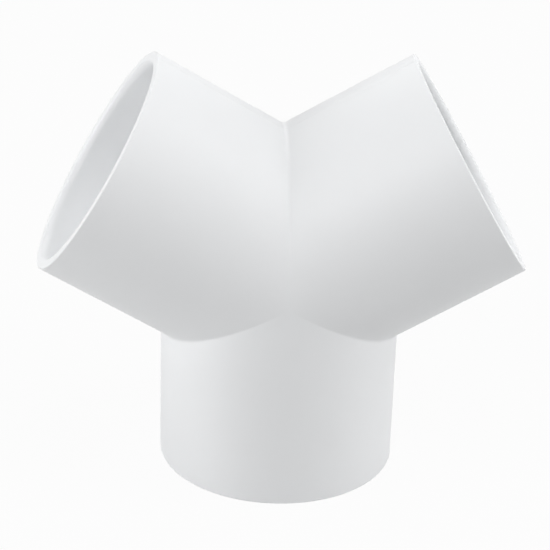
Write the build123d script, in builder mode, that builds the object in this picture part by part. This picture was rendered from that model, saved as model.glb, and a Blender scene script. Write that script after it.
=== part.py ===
from build123d import *
from math import radians, tan
import os

# A three-way (true) wye for pipe: three equal sockets in one plane, evenly spaced round the point
# where their axes meet. It is one moulded piece of white rigid PVC.
#
# Frame: the fitting stands on the stem's mouth. The origin is the middle of that mouth, +Z runs up
# the stem, and the other two legs, the arms, lie in the XZ plane, to the left and right of +Z.

# Driving dimensions, in millimetres
pipe_diameter = 60.3  # outside diameter of the pipe that each socket takes
pipe_clearance = 0.15  # room all round the pipe, which solvent cement fills
socket_wall = 3.7  # wall of the socket
socket_depth = 38.0  # from the mouth's rim to the pipe stop
stop_ledge = 2.3  # how far the pipe stop stands in from the socket's wall
stop_setback = 4.7  # from the corner where two sockets would meet to the pipe stop
entry_depth = 2.2  # rounded lead-in at the mouth, along the leg
entry_flare = 0.8  # how much the lead-in widens the socket, on the radius
rim_bevel = 0.4  # outer edge of each mouth
crease_rounding = 1.5  # outside, in the valley between two legs
ridge_rounding = 1.5  # inside, on the ridge between two waterways
leg_count = 3

# Sizes that follow from them
leg_spacing = 360 / leg_count
socket_radius = pipe_diameter / 2 + pipe_clearance
outer_radius = socket_radius + socket_wall
waterway_radius = socket_radius - stop_ledge
stop_distance = socket_radius / tan(radians(leg_spacing / 2)) + stop_setback
leg_length = stop_distance + socket_depth

# The legs are drawn from the point where their axes meet, the first one, the stem, straight down
meeting_point = Vector(0, 0, 0)
sideways = Vector(0, 1, 0)
leg_directions = [Vector(0, 0, -1).rotate(Axis.Y, leg * leg_spacing) for leg in range(leg_count)]

# The hollow: each leg's waterway, pipe stop, socket and lead-in are turned about its axis
with BuildPart() as hollow:
    for direction in leg_directions:
        with BuildSketch(Plane(meeting_point, x_dir=sideways, z_dir=sideways.cross(direction))):
            with BuildLine():
                socket = Polyline(
                    (0, 0),
                    (waterway_radius, 0),
                    (waterway_radius, stop_distance),
                    (socket_radius, stop_distance),
                    (socket_radius, leg_length - entry_depth),
                )
                lead_in = TangentArc(
                    socket @ 1,
                    (socket_radius + entry_flare, leg_length),
                    tangent=socket % 1,
                )
                Polyline(lead_in @ 1, (0, leg_length), (0, 0))
            make_face()
        revolve(axis=Axis(meeting_point, direction))
    fillet(hollow.edges().filter_by(GeomType.ELLIPSE), ridge_rounding)

# The walls: three round legs that run into one another, with a small radius in each valley
with BuildPart() as walls:
    for direction in leg_directions:
        with BuildSketch(Plane(meeting_point, x_dir=sideways, z_dir=direction)):
            Circle(outer_radius)
        extrude(amount=leg_length)
    fillet(walls.edges().filter_by(GeomType.ELLIPSE), crease_rounding)
    chamfer(walls.edges().filter_by(GeomType.CIRCLE), rim_bevel)
    add(hollow.part, mode=Mode.SUBTRACT)

# The body: the walls stood on the stem's mouth
with BuildPart() as wye_body:
    with Locations((0, 0, leg_length)):
        add(walls.part)

wye_body.part.label = "wye_body"
os.makedirs("parts", exist_ok=True)
export_step(wye_body.part, "parts/wye_body.step")
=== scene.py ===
import math

import bpy
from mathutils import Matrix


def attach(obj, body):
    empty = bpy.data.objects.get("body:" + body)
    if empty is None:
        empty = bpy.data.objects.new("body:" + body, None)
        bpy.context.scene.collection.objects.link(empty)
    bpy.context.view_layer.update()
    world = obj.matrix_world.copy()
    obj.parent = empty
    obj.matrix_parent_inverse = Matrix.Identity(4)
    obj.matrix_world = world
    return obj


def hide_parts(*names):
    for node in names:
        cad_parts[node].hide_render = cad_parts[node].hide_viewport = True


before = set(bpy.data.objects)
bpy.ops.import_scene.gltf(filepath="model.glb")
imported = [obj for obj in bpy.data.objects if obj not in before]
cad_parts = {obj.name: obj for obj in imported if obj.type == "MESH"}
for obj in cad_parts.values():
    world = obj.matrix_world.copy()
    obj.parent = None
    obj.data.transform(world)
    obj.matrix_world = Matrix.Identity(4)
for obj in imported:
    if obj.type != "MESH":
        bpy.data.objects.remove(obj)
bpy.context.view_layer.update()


# ---- The wye ---------------------------------------------------------------------------------
# One injection moulding of rigid white PVC: three round legs spread evenly in one upright plane,
# each with a pipe stop inside, a socket for the pipe and a rounded lead-in at its mouth. The two
# halves of the mould met in the plane of the legs and left a faint line along every leg.

outer_radius = 0.0340
socket_radius = 0.0303
waterway_radius = 0.0280
socket_depth = 0.0380
stop_setback = 0.0047
entry_depth = 0.0022
entry_flare = 0.0008
edge_rounding = 0.0004
lip_rounding = 0.0005
leg_spacing = math.radians(120)
facets_round_leg = 192
tiny = 1e-6

# How far the pipe stop and the mouth are from the point where the legs' axes meet
stop_distance = socket_radius / math.tan(leg_spacing / 2) + stop_setback
leg_length = stop_distance + socket_depth


def select_where(test, kind="edges"):
    """Selects the edges whose two ends both pass the test, or the vertices that pass it."""
    bpy.ops.mesh.select_all(action="DESELECT")
    bpy.ops.mesh.select_mode(type={"vertices": "VERT", "edges": "EDGE"}[kind])
    bpy.ops.object.mode_set(mode="OBJECT")
    mesh = bpy.context.object.data
    for part in getattr(mesh, kind):
        ends = part.vertices if kind == "edges" else [part.index]
        part.select = all(test(mesh.vertices[end].co) for end in ends)
    bpy.ops.object.mode_set(mode="EDIT")


def off_axis(point):
    """How far a point is from the axis of the leg that stands on +Z."""
    return math.hypot(point.x, point.y)


# The leg is drawn out of a ring on the point where the axes meet: up the outside wall, over the
# rim, down the lead-in and the socket to the pipe stop, and back down the waterway
bpy.ops.object.select_all(action="DESELECT")
bpy.ops.mesh.primitive_circle_add(vertices=facets_round_leg, radius=outer_radius)
wye = bpy.context.object
wye.name = wye.data.name = "wye_moulding"
bpy.ops.object.mode_set(mode="EDIT")
bpy.ops.mesh.select_all(action="SELECT")

# The lead-in is an arc that ends flush with the socket's wall. Its first two steps are taken as
# one, which leaves room to round the lip.
entry_curve = (entry_depth**2 + entry_flare**2) / (2 * entry_flare)
entry_steps = 8
entry = []
for step in [0, *range(2, entry_steps + 1)]:
    depth = entry_depth * step / entry_steps
    inward = entry_curve - math.sqrt(entry_curve**2 - (entry_depth - depth) ** 2)
    entry.append((socket_radius + inward, leg_length - depth))
outline = [(outer_radius, leg_length)] + entry
outline += [(socket_radius, stop_distance), (waterway_radius, stop_distance), (waterway_radius, 0)]

radius, height = outer_radius, 0
for next_radius, next_height in outline:
    bpy.ops.mesh.extrude_edges_move(
        TRANSFORM_OT_translate={"value": (0, 0, next_height - height)}
    )
    narrowing = next_radius / radius
    bpy.ops.transform.resize(value=(narrowing, narrowing, 1), center_override=(0, 0, 0))
    radius, height = next_radius, next_height

# Edges that the mould left rounded: the outside of the rim, the lip of the lead-in, and the two
# corners of the pipe stop
for at_radius, at_height, rounding in [
    (outer_radius, leg_length, edge_rounding),
    (socket_radius + entry_flare, leg_length, lip_rounding),
    (socket_radius, stop_distance, edge_rounding),
    (waterway_radius, stop_distance, edge_rounding),
]:
    select_where(lambda p: abs(off_axis(p) - at_radius) < tiny and abs(p.z - at_height) < tiny)
    bpy.ops.mesh.bevel(offset=rounding, segments=5, affect="EDGES")

# The mould's parting line: a low narrow ridge with crisp edges down both sides of the leg
line_width = 0.0004
line_height = 0.00008
wall_top = leg_length - edge_rounding


def on_parting_line(point, sideways):
    """Whether a point of the outside wall is within that distance of the parting line."""
    on_wall = off_axis(point) > outer_radius - line_height and point.z < wall_top + tiny
    return on_wall and abs(point.y) < sideways


select_where(lambda p: on_parting_line(p, tiny))
bpy.ops.mesh.bevel(offset=line_width / 2, segments=2, affect="EDGES")
select_where(lambda p: on_parting_line(p, tiny), "vertices")
raised = 1 + line_height / outer_radius
bpy.ops.transform.resize(value=(raised, 1, 1), center_override=(0, 0, 0))
select_where(lambda p: on_parting_line(p, line_width))
bpy.ops.mesh.mark_sharp()

# The leg is cut where it meets its two neighbours, halfway round to each of them
for side in (-1, 1):
    bpy.ops.mesh.select_all(action="SELECT")
    square_to_cut = (side * math.cos(leg_spacing / 2), 0, math.sin(leg_spacing / 2))
    bpy.ops.mesh.bisect(plane_co=(0, 0, 0), plane_no=square_to_cut, clear_inner=True)

# Two more legs like it, each turned on by a third of a circle, and the three joined up
bpy.ops.mesh.select_all(action="SELECT")
bpy.ops.transform.rotate(value=leg_spacing / 2, orient_axis="Y", center_override=(0, 0, 0))
for copy in range(2):
    bpy.ops.mesh.duplicate()
    bpy.ops.transform.rotate(value=leg_spacing, orient_axis="Y", center_override=(0, 0, 0))
bpy.ops.mesh.select_all(action="SELECT")
bpy.ops.mesh.remove_doubles(threshold=tiny)
bpy.ops.mesh.normals_make_consistent(inside=False)
bpy.ops.object.mode_set(mode="OBJECT")

# The valleys outside and the ridges inside have one small radius, so the rounded strip is widest
# where the walls meet most sharply, between the legs, and narrows towards the front and back. It
# keeps a small share of its width there, so that it doesn't pinch.
crease_rounding = 0.0015
widest = math.tan(leg_spacing / 4)
least_share = 0.12
seam_width = wye.data.attributes.new("bevel_weight_edge", "FLOAT", "EDGE")
for edge in wye.data.edges:
    start, end = (wye.data.vertices[corner].co for corner in edge.vertices)
    halfway = (start + end) / 2
    for turn in (0, leg_spacing, 2 * leg_spacing):
        off_seam = [p.x * math.cos(turn) - p.z * math.sin(turn) for p in (start, end)]
        along = halfway.x * math.sin(turn) + halfway.z * math.cos(turn)
        if max(abs(distance) for distance in off_seam) < tiny and along > 0:
            reach = along * math.sin(leg_spacing / 2)
            sideways = min(1, reach / math.hypot(reach, halfway.y))
            between_walls = math.acos(1 - sideways**2 / 2)
            share = math.tan(between_walls / 2) / widest
            seam_width.data[edge.index].value = max(least_share, share)
bpy.ops.object.modifier_add(type="BEVEL")
rounding = wye.modifiers[-1]
rounding.limit_method = "WEIGHT"
rounding.width = crease_rounding * widest
rounding.segments = 6
rounding.use_clamp_overlap = False
bpy.ops.object.modifier_apply(modifier=rounding.name)

# Stood on the stem's mouth, and smooth but for its crisp edges
crisp_from = math.radians(40)
bpy.ops.object.mode_set(mode="EDIT")
bpy.ops.mesh.select_all(action="SELECT")
bpy.ops.transform.translate(value=(0, 0, leg_length))
bpy.ops.object.mode_set(mode="OBJECT")
bpy.ops.object.shade_smooth_by_angle(angle=crisp_from)
bpy.ops.object.modifier_add(type="WEIGHTED_NORMAL")
wye.modifiers[-1].keep_sharp = True
bpy.ops.object.modifier_apply(modifier=wye.modifiers[-1].name)

# Rigid PVC: white with a trace of grey-blue, satin off a polished mould. The resin took its
# pigment a little unevenly, and its skin is faintly rippled and clouded where it cooled.
darker_white = (0.862, 0.872, 0.882, 1)
lighter_white = (0.878, 0.888, 0.898, 1)
pvc = bpy.data.materials.new("white_pvc")
pvc.use_nodes = True
nodes, links = pvc.node_tree.nodes, pvc.node_tree.links
shader = nodes["Principled BSDF"]
place = nodes.new("ShaderNodeTexCoord")


def add_cloudy_pattern(scale, detail):
    """Adds a soft uneven pattern from 0 to 1 that is fixed to the moulding."""
    noise = nodes.new("ShaderNodeTexNoise")
    noise.inputs["Scale"].default_value = scale
    noise.inputs["Detail"].default_value = detail
    links.new(place.outputs["Object"], noise.inputs["Vector"])
    return noise.outputs["Fac"]


pigment = nodes.new("ShaderNodeValToRGB")
pigment.color_ramp.elements[0].position = 0.3
pigment.color_ramp.elements[0].color = darker_white
pigment.color_ramp.elements[1].position = 0.7
pigment.color_ramp.elements[1].color = lighter_white
links.new(add_cloudy_pattern(scale=34, detail=3), pigment.inputs["Fac"])
links.new(pigment.outputs["Color"], shader.inputs["Base Color"])

satin = nodes.new("ShaderNodeMapRange")
satin.inputs["From Min"].default_value = 0.3
satin.inputs["From Max"].default_value = 0.7
satin.inputs["To Min"].default_value = 0.46
satin.inputs["To Max"].default_value = 0.54
links.new(add_cloudy_pattern(scale=90, detail=4), satin.inputs["Value"])
links.new(satin.outputs["Result"], shader.inputs["Roughness"])

skin = nodes.new("ShaderNodeBump")
skin.inputs["Strength"].default_value = 0.25
skin.inputs["Distance"].default_value = 0.00002
links.new(add_cloudy_pattern(scale=700, detail=2), skin.inputs["Height"])
links.new(skin.outputs["Normal"], shader.inputs["Normal"])

wye.data.materials.append(pvc)
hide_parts("wye_body")
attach(wye, "root")


# ---- The studio ------------------------------------------------------------------------------
# A pale paper floor that runs on past the view, and six big soft lamps: one overhead, one high
# behind, one high in front, two on the right and a low one on the left.

bpy.ops.object.select_all(action="DESELECT")
bpy.ops.mesh.primitive_plane_add(size=6)
floor = bpy.context.object
floor.name = "floor"


def add_backdrop_rays(nodes, links):
    """Gives 1 where the backdrop is seen directly, in a reflection or through something clear."""
    rays = nodes.new("ShaderNodeLightPath")
    seen = rays.outputs["Is Camera Ray"]
    for way in ("Is Glossy Ray", "Is Transmission Ray"):
        either = nodes.new("ShaderNodeMath")
        either.operation = "MAXIMUM"
        links.new(seen, either.inputs[0])
        links.new(rays.outputs[way], either.inputs[1])
        seen = either.outputs["Value"]
    return seen


# The paper is overexposed to white where it is seen, but for a trace of the light and shadow on it
share_washed_out = 0.95
paper = bpy.data.materials.new("paper")
paper.use_nodes = True
nodes, links = paper.node_tree.nodes, paper.node_tree.links
sheet = nodes["Principled BSDF"]
sheet.inputs["Base Color"].default_value = (0.55, 0.55, 0.55, 1)
sheet.inputs["Roughness"].default_value = 0.9
glow = nodes.new("ShaderNodeEmission")
glow.inputs["Color"].default_value = (1, 1, 1, 1)
glow.inputs["Strength"].default_value = 1.0
washed_out = nodes.new("ShaderNodeMath")
washed_out.operation = "MULTIPLY"
washed_out.inputs[1].default_value = share_washed_out
links.new(add_backdrop_rays(nodes, links), washed_out.inputs[0])
lit_paper = nodes.new("ShaderNodeMixShader")
links.new(washed_out.outputs["Value"], lit_paper.inputs["Fac"])
links.new(sheet.outputs["BSDF"], lit_paper.inputs[1])
links.new(glow.outputs["Emission"], lit_paper.inputs[2])
links.new(lit_paper.outputs["Shader"], nodes["Material Output"].inputs["Surface"])
floor.data.materials.append(paper)

# The room beyond is white where it is seen, and lights nothing otherwise
studio = bpy.data.worlds.new("studio")
bpy.context.scene.world = studio
studio.use_nodes = True
nodes, links = studio.node_tree.nodes, studio.node_tree.links
links.new(add_backdrop_rays(nodes, links), nodes["Background"].inputs["Strength"])
nodes["Background"].inputs["Color"].default_value = (1, 1, 1, 1)

# Each lamp is a round softbox that faces the fitting: degrees round from the front towards the
# right, degrees up, and strength. The four upper ones are alike. The two low ones light the mouths
# and the stem from the sides, the left one more, and the floor hides their lower part.
lamp_target = (0, 0, 0.06)
lamp_distance = 1.2
lamp_width = 0.8
lamp_watts = 4.1
for name, around, up, strength in [
    ("lamp_overhead", 0, 90, 1),
    ("lamp_behind", 180, 40, 1),
    ("lamp_high_front", -25, 40, 1),
    ("lamp_high_right", 75, 40, 1),
    ("lamp_low_right", 75, 10, 1.5),
    ("lamp_low_left", -75, 10, 2),
]:
    around, up = math.radians(around), math.radians(up)
    bpy.ops.object.light_add(
        type="AREA",
        location=(
            lamp_target[0] + lamp_distance * math.sin(around) * math.cos(up),
            lamp_target[1] - lamp_distance * math.cos(around) * math.cos(up),
            lamp_target[2] + lamp_distance * math.sin(up),
        ),
        rotation=(math.pi / 2 - up, 0, around),
    )
    lamp = bpy.context.object
    lamp.name = name
    lamp.data.shape = "DISK"
    lamp.data.size = lamp_width
    lamp.data.energy = strength * lamp_watts


# ---- The camera ------------------------------------------------------------------------------
# A long lens about half a metre off, a little left of the front and above the mouths, so that the
# view looks down into the left socket and just across the right one. Colours are shown as they are.

bpy.ops.object.camera_add(
    location=(-0.036557, -0.506371, 0.288766),
    rotation=[math.radians(turn) for turn in (65.2874, -1.6216, -3.1959)],
)
camera = bpy.context.object
camera.data.lens = 128.19
camera.data.clip_start = 0.01
bpy.context.scene.camera = camera
bpy.context.scene.view_settings.view_transform = "Standard"
